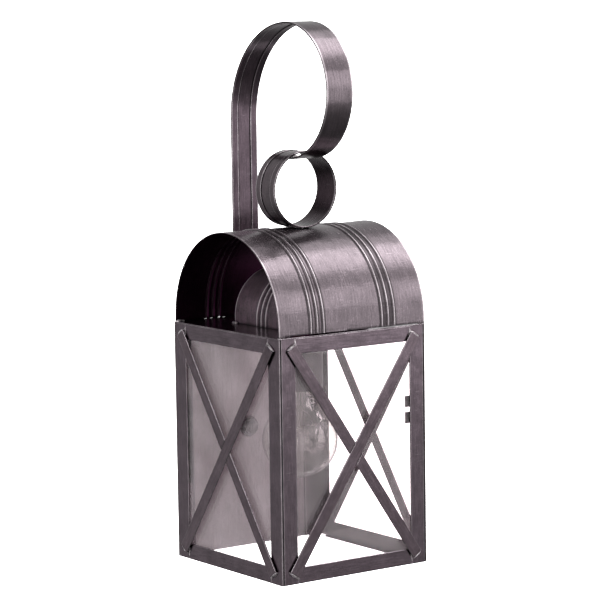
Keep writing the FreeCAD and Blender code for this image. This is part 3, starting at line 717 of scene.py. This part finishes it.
def beaded_section(half, groups, marks=()):
    """The sheet cut across its length: three rounded beads in each group and rounded rims.

    marks are further places along the sheet that need a point.
    """
    beads = bead_places(groups)
    places = set()
    for number in range(int(2 * half / GRID_STEP) + 1):
        places.add(round(-half + RIM_BAND[0] + number * GRID_STEP, 6))
    for bead in beads:
        places = {p for p in places if abs(p - bead) > BEAD_HALF + 0.4 * MM}
        for number in range(-BEAD_STEPS, BEAD_STEPS + 1):
            places.add(round(bead + BEAD_HALF * number / BEAD_STEPS, 6))
        for side in SIDES:
            places.add(round(bead + side * (BEAD_HALF + 0.25 * MM), 6))
    edges = [side * (half - inset) for side in SIDES for inset in RIM_BAND]
    places = {p for p in places if abs(p) < half - RIM_CLEAR} | {round(m, 6) for m in [*marks, *edges]}
    places = sorted(places)

    def rise(x):
        for bead in beads:
            if abs(x - bead) < BEAD_HALF:
                return BEAD_HEIGHT * math.cos(math.pi / 2 * (x - bead) / BEAD_HALF) ** 1.35
        return 0.0

    rim = SHEET / 2
    section = [(x, rise(x)) for x in places]
    section += round_end(half - rim, rim, math.pi / 2, RIM_STEPS)
    section += [(x, rise(x) - SHEET) for x in reversed(places)]
    section += round_end(rim - half, rim, -math.pi / 2, RIM_STEPS)
    return section


def paint_beads(half, groups):
    """Rims and bead tops are painted bright, as rubbed wear and painted highlight, and painted shade lies
    along the foot of each bead and on the very edge.
    """
    beads = bead_places(groups)

    def paint(width, offset):
        near = min(abs(width - bead) for bead in beads)
        to_edge = half - abs(width)
        if to_edge < 0.2 * MM:
            return 0.2, 0.4
        if to_edge < 0.7 * MM:
            return 0.75, 0.0
        if offset < -0.1 * MM:
            return 0.0, 0.0
        if 0.7 * BEAD_HALF < near < BEAD_HALF + 0.3 * MM:
            return 0.0, 0.65
        return (0.7 if near < 0.35 * BEAD_HALF else 0.0), 0.0
    return paint


def lined_sheet(mesh, name, outer, inner, centre, axis, replaced):
    """A curved sheet of the housing; the faces that look towards its axis get a darker copy of its brass,
    painted shade.
    """
    piece = finish_piece(mesh, name, outer, "housing", [replaced])
    mesh.materials.append(inner)
    for face in mesh.polygons:
        radial = face.center - centre
        radial -= axis * radial.dot(axis)
        face.material_index = 1 if face.normal.dot(radial) < 0 else 0
    weighted(piece)


SLOTS = [x * MM for x in (-41.2, -35.5, -28.4, -23.6)]
SLOT_HALF = 1.5 * MM
SLOT_GAP = 0.3 * MM
# The front foot stands clear of the plate between its ends, by more at the left end than at the right.
FOOT_GAP = 1.1 * MM
FOOT_GAP_SLOPE = 0.4 * MM
FOOT_HALF = 64 * MM
FLARE_START = 0.4
FLARE_SIZE = 2.0 * MM
STEP_WIDTH = 0.1 * MM


def roof_shape(point, width, offset, distance, outward):
    """Lift the front foot off the plate, open four slots in the rear foot and let the sheet wander.

    The top of the right end flares outwards.
    """
    spot = point + outward * wobble(point, 21.0, 0.16 * MM, 3.0)
    flare = max(0.0, width / ROOF_HALF - FLARE_START) ** 2
    spot += outward * (FLARE_SIZE * flare * max(0.0, outward.z) ** 2)
    if point.z < PLATE_TOP + STEP_WIDTH:
        if point.y < ROOF_AXIS[0]:
            if abs(width) < FOOT_HALF:
                spot.z += FOOT_GAP - FOOT_GAP_SLOPE * width / FOOT_HALF
        elif any(abs(width - slot) < SLOT_HALF for slot in SLOTS):
            spot.z += SLOT_GAP
    return spot


ARCH_STEPS = 96
LEG_RISE = 2.4 * MM


def arch_stations(centre, radius, across):
    """Stations up one leg from the top plate, over the arch and down the other. across is horizontal."""
    made = []
    for step in range(ARCH_STEPS + 1):
        angle = math.pi * step / ARCH_STEPS
        outward = across * math.cos(angle) + ALONG_Z * math.sin(angle)
        made.append((centre + outward * radius, outward))
    for side in SIDES:
        foot = centre - across * (side * radius)
        outward = across * -side
        leg = [(Vector((foot.x, foot.y, height)), outward) for height in (PLATE_TOP, PLATE_TOP + LEG_RISE)]
        made = leg + made if side < 0 else made + leg[::-1]
    return made


marks = []
for side in SIDES:
    marks += [side * FOOT_HALF - STEP_WIDTH, side * FOOT_HALF + STEP_WIDTH]
for slot in SLOTS:
    for edge in (-SLOT_HALF, SLOT_HALF):
        marks += [slot + edge - 0.03 * MM, slot + edge + 0.03 * MM]
ROOF_CENTRE = Vector((0, *ROOF_AXIS))
roof_mesh = sweep(
    "roof_shell",
    arch_stations(ROOF_CENTRE, ROOF_RADIUS, ALONG_Y),
    ALONG_X,
    beaded_section(ROOF_HALF, ROOF_BEADS, marks),
    roof_shape,
    paint_beads(ROOF_HALF, ROOF_BEADS),
)
lined_sheet(roof_mesh, "roof_shell", roof_brass, inner_brass, ROOF_CENTRE, ALONG_X, "roof_barrel")


def baffle_shape(point, width, offset, distance, outward):
    return point + outward * wobble(point, 30.0, 0.2 * MM, 9.0)


BAFFLE_CENTRE = Vector((0, BAFFLE_Y, BAFFLE_AXIS_Z))
baffle_mesh = sweep(
    "baffle_shell",
    arch_stations(BAFFLE_CENTRE, BAFFLE_RADIUS, ALONG_X),
    ALONG_Y,
    beaded_section(BAFFLE_HALF, BAFFLE_BEADS),
    baffle_shape,
    paint_beads(BAFFLE_HALF, BAFFLE_BEADS),
)
lined_sheet(baffle_mesh, "baffle_shell", baffle_brass, inner_brass, BAFFLE_CENTRE, ALONG_Y, "vent_baffle")

# ---- strap and ring, folded from one strip

STRIP_HALF = 12.7 * MM
HEM = 6.6 * MM
FOLD = 0.75 * MM
FOLD_STEPS = 8


def strip_section():
    """A strip with its two edges folded back flat. Offset 0 is the plain face; the hems lie at -2 * FOLD."""
    half = STRIP_HALF
    flat = half - FOLD
    edge = half - HEM
    plain = [flat, flat - 0.3 * MM, flat - 1.2 * MM, flat - 4 * MM, flat - 8 * MM]
    section = [(-w, 0.0) for w in plain] + [(0.0, 0.0)] + [(w, 0.0) for w in reversed(plain)]
    section += round_end(flat, FOLD, math.pi / 2, FOLD_STEPS)
    deep = 2 * FOLD
    hem = [
        (flat, -deep),
        (flat - 0.6 * MM, -deep),
        (edge + 0.9 * MM, -deep),
        (edge + 0.3 * MM, -deep),
        (edge + 0.1 * MM, -deep + 0.06 * MM),
        (edge, -deep + 0.2 * MM),
        (edge, -SHEET - 0.1 * MM),
        (edge - 0.05 * MM, -SHEET),
        (edge - 0.5 * MM, -SHEET),
        (edge - 1.1 * MM, -SHEET),
        (edge - 2.4 * MM, -SHEET),
    ]
    section += hem + [(0.0, -SHEET)] + [(-w, d) for w, d in reversed(hem)]
    return section + round_end(-flat, FOLD, -math.pi / 2, FOLD_STEPS)


def strip_paint(width, offset):
    """How bright and how shaded the strip is painted: bright by each fold and on the hems, as rubbed wear and
    painted highlight; painted shade on its edge and by the hems.
    """
    past_flat = abs(width) - (STRIP_HALF - FOLD)
    inward = STRIP_HALF - HEM - abs(width)
    if past_flat > 0.6 * MM:
        return 0.0, 0.7
    if past_flat > -0.35 * MM:
        return 0.9, 0.0
    if offset < -SHEET - 0.2 * MM:
        return (0.8 if inward > -0.5 * MM else 0.0), 0.0
    return 0.0, (1.0 if offset < -0.5 * MM and -0.2 * MM < inward < 0.7 * MM else 0.0)


def hand_folded(seed, lateral):
    """The hem's edge wanders and the strip isn't quite flat."""
    def shape(point, width, offset, distance, outward):
        spot = point + outward * wobble(point, 26.0, 0.22 * MM, seed)
        inward = STRIP_HALF - HEM - abs(width)
        if offset < -0.5 * MM and -0.5 * MM < inward < 1.2 * MM:
            sway = noise.noise(Vector((distance * 38.0, math.copysign(4.0, width), seed)))
            spot += lateral * (0.45 * MM * sway)
        return spot
    return shape


# The strap: straight up the wall to its shoulder, a wide quarter circle, a tighter half circle and a
# straight tail on the ring.
BIG = 77.6 * MM
SMALL = 53.6 * MM
SHOULDER = 251.2 * MM
SMALL_Z = SHOULDER + BIG - SMALL
TAIL = 17.6 * MM
UPRIGHT_STEPS = 60
TAIL_STEPS = 12
LOOP_MIDDLE = Vector((0, -BIG, 262 * MM))
scroll_path = []
for step in range(UPRIGHT_STEPS):
    height = PLATE_TOP + (SHOULDER - PLATE_TOP) * step / UPRIGHT_STEPS
    scroll_path.append((Vector((0, 0, height)), ALONG_Y))
scroll_path += arc((-BIG, SHOULDER), BIG, 0, 90, 90)[:-1]
scroll_path += arc((-BIG, SMALL_Z), SMALL, 90, 270, 150)
for step in range(1, TAIL_STEPS + 1):
    scroll_path.append((Vector((0, -BIG + TAIL * step / TAIL_STEPS, SMALL_Z - SMALL)), -ALONG_Z))
folded = hand_folded(1.0, ALONG_X)
scroll_mesh = sweep("scroll_strip", scroll_path, ALONG_X, strip_section(), folded, strip_paint)
lined_sheet(scroll_mesh, "scroll_strip", strip_brass, strip_inner_brass, LOOP_MIDDLE, ALONG_X, "scroll_strap")

RING_CENTRE = Vector((0, -72.0 * MM, 198.0 * MM))
RING_INNER = 28.7 * MM
RING_STATIONS = 180
RING_SWEEP = 359.0
ring_path = []
for step in range(RING_STATIONS):
    angle = math.radians(90 + RING_SWEEP * step / (RING_STATIONS - 1))
    radial = Vector((math.cos(angle), 0, math.sin(angle)))
    ring_path.append((RING_CENTRE + radial * RING_INNER, -radial))
ring_mesh = sweep("ring_band", ring_path, ALONG_Y, strip_section(), hand_folded(5.0, ALONG_Y), strip_paint)
lined_sheet(ring_mesh, "ring_band", strip_brass, ring_inner_brass, RING_CENTRE, ALONG_Y, "hanging_ring")

# ---- lamp and its holder

LAMP_Y = -72.0 * MM
BULB = 30.0 * MM
BULB_Z = -1.8 * MM
FLARE = 13.3 * MM
NECK = 12.6 * MM
WALL = 0.7 * MM
SHOULDER_ANGLE = math.radians(41)
GLOBE_STEPS = 56
THROAT_STEPS = 16
CAP_LOW = 43.6 * MM
NECK_TOP = 50 * MM


def globe_line(inset):
    """The globe from its lowest point up into the neck, moved in by inset."""
    radius = BULB - inset
    throat = (BULB * math.cos(SHOULDER_ANGLE) - FLARE) / (1 - math.cos(SHOULDER_ANGLE)) + inset
    centre_r = FLARE + throat - inset
    centre_z = BULB_Z + (BULB + throat - inset) * math.sin(SHOULDER_ANGLE)
    line = []
    for step in range(GLOBE_STEPS + 1):
        angle = -math.pi / 2 + (SHOULDER_ANGLE + math.pi / 2) * step / GLOBE_STEPS
        line.append((max(0.0, radius * math.cos(angle)), BULB_Z + radius * math.sin(angle)))
    for step in range(1, THROAT_STEPS + 1):
        angle = SHOULDER_ANGLE * (1 - step / THROAT_STEPS)
        line.append((centre_r - throat * math.cos(angle), centre_z - throat * math.sin(angle)))
    line.append((NECK - inset, CAP_LOW + 0.4 * MM))
    line.append((NECK - inset, NECK_TOP))
    return line


globe_mesh = lathe("globe", globe_line(0) + list(reversed(globe_line(WALL))), 0, LAMP_Y, 128)
finish_piece(globe_mesh, "lamp_globe", bulb_clear, "lamp", ["bulb_glass"])

# The glass stem, as (radius, height) in millimetres: flare, pinch, rod and button.
STEM_OUTLINE = [
    (0, 49), (11.7, 49), (11.7, 48.2), (11.2, 47.2), (9.0, 45.2), (6.4, 43.4), (5.0, 41.5), (4.3, 39),
    (3.7, 36), (3.4, 33), (3.2, 28), (3.3, 24), (3.4, 22), (2.9, 20.8), (1.9, 19.8), (1.4, 18.8),
    (1.3, 12), (1.3, 6), (1.5, 5), (2.0, 4.2), (2.1, 3.6), (1.7, 2.9), (0.9, 2.5), (0, 2.4),
]
PINCH_LOW = 20 * MM
PINCH_HIGH = 36 * MM
stem_mesh = lathe("stem", [(r * MM, z * MM) for r, z in STEM_OUTLINE], 0, LAMP_Y, 64)
for vertex in stem_mesh.vertices:
    if PINCH_LOW < vertex.co.z < PINCH_HIGH:
        pinch = math.sin(math.pi * (vertex.co.z - PINCH_LOW) / (PINCH_HIGH - PINCH_LOW))
        vertex.co.y = LAMP_Y + (vertex.co.y - LAMP_Y) * (1 - 0.5 * pinch)
finish_piece(stem_mesh, "lamp_stem", stem_clear, "lamp", ["bulb_stem"])


def wire(name, lines, radius):
    """Round wires through lists of points in millimetres, relative to the lamp's axis."""
    curve = bpy.data.curves.new(name, "CURVE")
    curve.dimensions = "3D"
    curve.bevel_depth = radius * MM
    curve.bevel_resolution = 3
    curve.use_fill_caps = True
    for line in lines:
        spline = curve.splines.new("POLY")
        spline.points.add(len(line) - 1)
        for point, (x, y, z) in zip(spline.points, line):
            point.co = (x * MM, LAMP_Y + y * MM, z * MM, 1)
    piece = placed(name, curve)
    curve.materials.append(wire_metal)
    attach(piece, "lamp")
    return piece


def bow(start, end, sag, steps=14):
    """The points of a wire between two points, bowed by sag."""
    start = Vector(start)
    end = Vector(end)
    made = []
    for step in range(steps + 1):
        part = step / steps
        made.append(start.lerp(end, part) + Vector(sag) * (4 * part * (1 - part)))
    return made


# The filament zigzags between its two leads, in millimetres: heights, the wires' radii and the coil's turns.
FILAMENT_Z = 9.0
HOOK = Vector((12.6, -0.6, 9.4))
HOOK_RADIUS = 0.9
HOOK_STEPS = 12
LEAD_RADIUS = 0.26
COIL_WIRE = 0.1
COIL_RADIUS = 0.34
COIL_PITCH = 0.75
COIL_STEP = 0.09
ZIGZAG = [(-12.4, -1.4), (-5.8, -6.2), (0.0, -3.2), (5.8, -6.2), (12.4, -1.4)]

leads = []
for side in SIDES:
    lead = bow((side * 2.6, 0, 21.5), (side * HOOK.x, HOOK.y, HOOK.z), (side * 1.2, 0, 1.4))
    for number in range(1, HOOK_STEPS + 1):
        angle = 2 * math.pi * number / HOOK_STEPS
        out = HOOK.x + HOOK_RADIUS * math.sin(angle)
        lead.append((side * out, HOOK.y - HOOK_RADIUS * (1 - math.cos(angle)), HOOK.z - 0.25 * angle))
    leads.append(lead)
wire("lamp_leads", leads, LEAD_RADIUS)

corners = [Vector((x, y, FILAMENT_Z)) for x, y in ZIGZAG]
coil = []
turn = 0.0
for start, end in zip(corners, corners[1:]):
    reach = end - start
    sideways = reach.cross(ALONG_Z).normalized()
    count = int(reach.length / COIL_STEP)
    for step in range(count):
        turn += 2 * math.pi * COIL_STEP / COIL_PITCH
        around = sideways * math.cos(turn) + ALONG_Z * math.sin(turn)
        coil.append(start + reach * (step / count) + around * COIL_RADIUS)
coil_piece = wire("lamp_coil", [coil], COIL_WIRE)
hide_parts("bulb_filament")
arms = [bow((0, 0, 3.6), corner - ALONG_Z * 0.4, (0, -0.8, -0.8)) for corner in corners[1:-1]]
wire("lamp_supports", arms, 0.12)

THREAD_PITCH = 3.6 * MM
THREAD_FADE = 1.2 * MM
THREAD_STEP = 0.25


def threaded(radius, depth, low, high):
    """A rolled thread: the radius swings by depth once each pitch, fading out at both ends."""
    def ripple(angle, base, height):
        if abs(base - radius) > SAME_PLACE or not low < height < high:
            return 0.0
        fade = min(1.0, (height - low) / THREAD_FADE, (high - height) / THREAD_FADE)
        return depth * fade * math.cos(2 * math.pi * height / THREAD_PITCH - angle)
    return ripple


def screw_shell(name, mid, below, threads, above, depth, fade_from, fade_to):
    """A thin turned shell with a rolled thread: (radius, height) points in millimetres round its cut wall.

    The threaded stretch lies at radius mid, between the heights in threads, with the points below it and
    above it on either side.
    """
    start, end = threads
    count = round(abs(end - start) / THREAD_STEP)
    stretch = [(mid, start + (end - start) * number / count) for number in range(count + 1)]
    outline = [(r * MM, z * MM) for r, z in below + stretch + above + below[:1]]
    return lathe(name, outline, 0, LAMP_Y, 96, threaded(mid * MM, depth * MM, fade_from * MM, fade_to * MM))


cap_mesh = screw_shell(
    "cap",
    12.75,
    [(12.95, 44.4), (13.05, 44.9), (13.0, 45.4)],
    (46.0, 62.5),
    [(11.6, 63.8), (9.4, 65.4), (8.0, 66.0), (6.0, 66.0), (6.0, 65.6), (8.0, 65.6), (11.0, 63.4),
     (12.1, 62.0), (12.1, 45.4), (12.6, 44.4)],
    0.34,
    46.0,
    62.5,
)
finish_piece(cap_mesh, "lamp_cap", cap_metal, "lamp", ["bulb_base"])
liner_mesh = screw_shell(
    "liner",
    14.15,
    [(15.1, 45), (15.6, 45), (15.6, 47), (14.9, 48.5), (14.42, 49.5), (14.42, 75), (10.9, 75), (10.9, 74.5),
     (13.9, 74.5)],
    (73.5, 49.5),
    [(14.5, 48.2), (15.1, 46.6)],
    0.2,
    49.5,
    73.4,
)
finish_piece(liner_mesh, "socket_liner", liner_brass, "housing", ["socket_shell"])

# ---- solder

# Places on the box, in millimetres.
FRONT = -144
SIDE = 70
SIDE_MIDDLE = -72
BAR_MIDDLE = -3.0
TOP = 92
RAIL_MIDDLES = (85.3, -91.0)
POST_EDGES = (-129, -15.8)
RING_FOOT = 167.8
RING_HEAD = 223.2

# Lengths, widths and heights of the solder.
BAR_FILLET = (9.2, 1.9, 1.85)
SEAM = (9.0, 2.0, 0.35)
FRONT_FOOT = (6.0, 2.2, 1.2)
REAR_FOOT = (8.0, 4.0, 1.6)
BAFFLE_FOOT = (6.5, 3.4, 1.3)
RING_FILLET = (7.0, 3.4, 1.0)
RING_LUMP = (7.0, 3.2, 2.0)


def bar_end(face_middle, run, normal):
    """A bright fillet across one end of a cross bar. run goes from the face's middle to the bar's end."""
    run = Vector(run)
    normal = Vector(normal)
    return (Vector(face_middle) + run + run.normalized() * 0.5, normal.cross(run), normal, *BAR_FILLET)


bar_solder = []
for across in SIDES:
    for level in SIDES:
        run = (across * FRONT_BAR_REACH, 0, level * BAR_RISE)
        bar_solder.append(bar_end((0, FRONT, BAR_MIDDLE), run, -ALONG_Y))
        for face in SIDES:
            run = (0, across * SIDE_BAR_REACH, level * BAR_RISE)
            bar_solder.append(bar_end((face * SIDE, SIDE_MIDDLE, BAR_MIDDLE), run, ALONG_X * face))
blobs("solder_bar_ends", bar_solder)

seams = []
for side in SIDES:
    for z in RAIL_MIDDLES:
        seams.append(((side * 55, FRONT, z), ALONG_Z, -ALONG_Y, *SEAM))
        for y in POST_EDGES:
            seams.append(((side * SIDE, y, z), ALONG_Z, ALONG_X * side, *SEAM))
blobs("solder_rail_seams", seams)

roof_joints = []
for side in SIDES:
    roof_joints.append(((side * 67, -142.6, TOP), ALONG_X, ALONG_Z, *FRONT_FOOT))
    roof_joints.append(((side * 66.5, -3.4, TOP), ALONG_X, ALONG_Z, *REAR_FOOT))
    roof_joints.append(((side * 39.6, -41.0, TOP), ALONG_Y, ALONG_Z, *BAFFLE_FOOT))
    roof_joints.append(((side * 39.6, -111.0, TOP), ALONG_Y, ALONG_Z, *BAFFLE_FOOT))
blobs("solder_roof_feet", roof_joints)

ring_joints = []
for y in (-81, -75, -69, -63):
    for side in SIDES:
        ring_joints.append(((side * 3.2, y, RING_FOOT), ALONG_Y, (side * 0.15, 0, 1), *RING_FILLET))
for x in (-8, -2.5, 3):
    ring_joints.append(((x, -83.8, RING_HEAD), ALONG_X, ALONG_Z, *RING_LUMP))
blobs("solder_ring", ring_joints)

# ---- studio

# A round room with a flat floor, as (radius, height) in metres.
ROOM_PROFILE = [
    (0.0, -0.6), (5.0, -0.6), (8.0, -0.5), (10.5, 0.3), (11.5, 2.0), (11.0, 5.5), (7.0, 9.5), (0.0, 11.0),
]
room_mesh = lathe("studio_sweep", ROOM_PROFILE, 0, 0, 64)
room = placed("studio_sweep", room_mesh)
for face in room_mesh.polygons:
    face.use_smooth = True
paper = Shader("white_paper")
wash = paper.noise(paper.add("ShaderNodeTexCoord").outputs["Object"], 0.8, 2.0, 0.5)
paper_skin = paper.add(
    "ShaderNodeBsdfPrincipled",
    links={"Base Color": paper.ramp(wash, (0.3, (0.82, 0.82, 0.82)), (0.7, (0.86, 0.86, 0.86)))},
    values={"Roughness": 0.9, "Emission Color": (1, 1, 1, 1), "Emission Strength": 1.0},
)
room_mesh.materials.append(paper.surface(paper_skin.outputs["BSDF"]))
room.visible_glossy = False
room.visible_shadow = False

# What the surroundings show: (height of the direction, radiance), from straight down to straight up.
SKY = ((-0.85, 0.15), (-0.62, 0.24), (-0.46, 0.42), (-0.12, 0.59), (0.15, 0.68), (0.9, 0.48))
sky = Shader("studio_world", "worlds", "ShaderNodeOutputWorld")
towards = sky.add("ShaderNodeTexCoord").outputs["Generated"]
split = sky.add("ShaderNodeSeparateXYZ", links={0: towards})
level = sky.spread(split.outputs["Z"], -1.0, 1.0, 0.0, 1.0)
shade = sky.ramp(level, *((0.5 + height / 2, (radiance, radiance, radiance)) for height, radiance in SKY))
backdrop = sky.add("ShaderNodeBackground", links={"Color": shade})
bpy.context.scene.world = sky.surface(backdrop.outputs[0])

AIM = Vector((0, -0.08, 0.13))


def softbox(name, direction, distance, width, height, radiance, upright=ALONG_Z):
    """A rectangular light facing the lantern. radiance is what a mirror would show of it."""
    light = bpy.data.lights.new(name, "AREA")
    light.shape = "RECTANGLE"
    light.size = width
    light.size_y = height
    light.energy = radiance * math.pi * width * height
    lamp = placed(name, light)
    direction = Vector(direction).normalized()
    lamp.location = AIM + direction * distance
    across = Vector(upright).cross(direction).normalized()
    tall = direction.cross(across)
    lamp.rotation_mode = "QUATERNION"
    lamp.rotation_quaternion = Matrix((across, tall, direction)).transposed().to_quaternion()
    lamp.visible_camera = False


softbox("key", (0.58, -0.161, 0.798), 2.0, 1.6, 0.91, 4.8, (0, 1, 0.1))
softbox("key_soft", (0.58, 0.17, 0.797), 2.0, 1.6, 0.60, 1.9, (0, 0.95, -0.25))
softbox("key_spill", (0.58, 0.508, 0.637), 2.0, 1.6, 0.63, 0.1, (0, 0.8, -0.6))
softbox("bridge", (0.58, -0.50, 0.64), 1.6, 1.4, 0.53, 1.05, (0, 0.7, 0.6))
softbox("fill_high", (0.58, -0.73, 0.35), 1.25, 1.3, 0.50, 2.45, (0, 0.4, 0.9))
softbox("fill_low", (0.58, -0.80, -0.02), 1.35, 1.3, 0.42, 1.22)
softbox("fill_floor", (0.566, -0.78, -0.26), 1.35, 1.3, 0.30, 0.16, (0, -0.3, 0.95))
softbox("floor_bounce", (0.58, 0.2, -0.78), 1.5, 1.3, 0.25, 0.85, (0, 0.95, 0.25))
softbox("rim_high", (-0.62, -0.32, 0.72), 1.8, 1.0, 1.0, 2.6, (0.5, 0.2, 0.6))
softbox("rim_low", (-0.80, -0.58, -0.02), 1.6, 0.4, 1.2, 2.4)

# ---- camera

AZIMUTH = math.radians(-35.73)
ELEVATION = math.radians(6.88)
ROLL = math.radians(-0.84)
TARGET = Vector((-0.0501, -0.1443, 0.1204))
DISTANCE = 2.028
back = Vector((
    math.sin(AZIMUTH) * math.cos(ELEVATION),
    -math.cos(AZIMUTH) * math.cos(ELEVATION),
    math.sin(ELEVATION),
))
right = Vector((math.cos(AZIMUTH), math.sin(AZIMUTH), 0))
up = back.cross(right)
rolled_right = right * math.cos(ROLL) + up * math.sin(ROLL)
rolled_up = up * math.cos(ROLL) - right * math.sin(ROLL)
camera_data = bpy.data.cameras.new("camera")
camera_data.sensor_width = 36.0
camera_data.lens = 161.0
camera_data.clip_start = 0.1
camera_data.clip_end = 60.0
camera = placed("camera", camera_data)
turned = Matrix((rolled_right, rolled_up, back)).transposed().to_4x4()
camera.matrix_world = Matrix.Translation(TARGET + back * DISTANCE) @ turned
bpy.context.scene.camera = camera
bpy.context.scene.view_settings.view_transform = "Standard"
bpy.context.scene.view_settings.look = "None"

bpy.context.view_layer.update()
